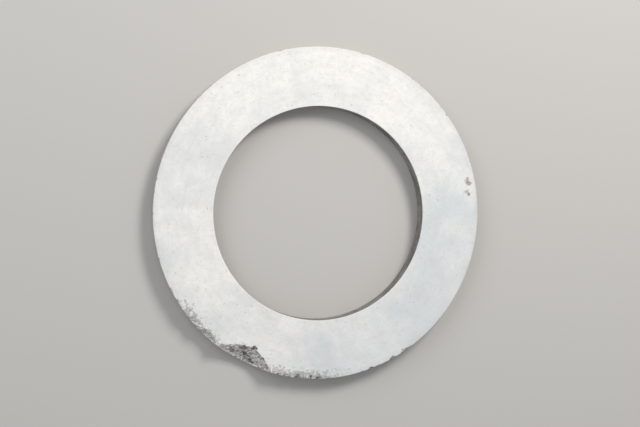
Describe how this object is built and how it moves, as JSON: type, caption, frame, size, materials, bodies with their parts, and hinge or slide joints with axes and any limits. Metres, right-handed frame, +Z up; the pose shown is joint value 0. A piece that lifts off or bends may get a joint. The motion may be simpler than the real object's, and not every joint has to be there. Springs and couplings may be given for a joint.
{
  "type": "concrete culvert ring",
  "caption": "Flat annular slab of smooth pale precast concrete with a round bore, lying face up, its upper outer edge spalled and chipped on one side.",
  "frame": {"origin": "centre of the base, on the bore's axis, at the level of the floor that the ring lies on", "axes": "+Z up along the bore's axis, out of the trowelled face; +X and +Y are right and up as the picture shows that face, so the large spall is at about 245 degrees from +X towards +Y"},
  "size_m": [0.8998, 0.8998, 0.05],
  "materials": {
    "concrete": "smooth trowelled pale concrete, matt, with rough grey aggregate where the edge is broken"
  },
  "bodies": {
    "root": {"culvert_ring": "concrete"}
  },
  "joints": []
}
